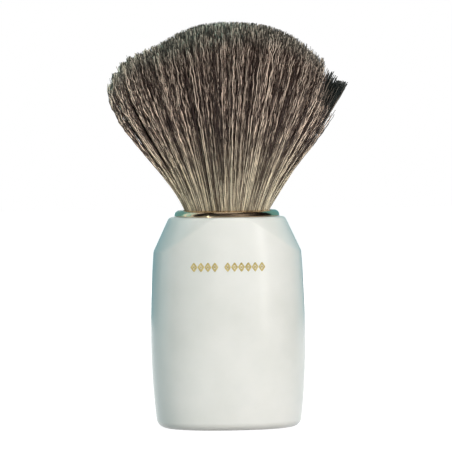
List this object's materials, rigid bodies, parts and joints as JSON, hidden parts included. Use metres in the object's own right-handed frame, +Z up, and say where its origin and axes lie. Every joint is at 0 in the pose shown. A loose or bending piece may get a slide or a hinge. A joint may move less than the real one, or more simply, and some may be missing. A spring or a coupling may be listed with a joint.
{
  "type": "shaving brush",
  "caption": "Shaving brush with a fan-shaped knot of dark-banded hair, a gilt collar and a glossy white barrel handle of oval section with turned shoulders.",
  "frame": {"origin": "middle of the foot, on the surface that the brush stands on", "axes": "+Z up the brush towards the hair, -Y out of the handle's broad front, +X to the right of the front"},
  "size_m": [0.0606, 0.052, 0.105],
  "materials": {
    "handle_plastic": "polished off-white moulding",
    "cup_plastic": "plain grey-white moulding",
    "gilt_collar": "turned, polished and gilt",
    "weight_steel": "sawn and turned, plain",
    "epoxy": "clear amber, cast",
    "thread": "waxed linen thread",
    "hair": "natural hair, pale at the root, dark in the middle, grey at the tip"
  },
  "bodies": {
    "root": {"handle_shell": "handle_plastic", "base_plug": "handle_plastic", "ballast_weight": "weight_steel", "epoxy_bed": "epoxy", "knot_cup": "cup_plastic", "collar_ring": "gilt_collar", "resin_plug": "epoxy", "binding_thread": "thread", "hair_core": "hair", "hair_inner_layer": "hair", "hair_middle_layer": "hair", "hair_outer_layer": "hair"}
  },
  "joints": []
}
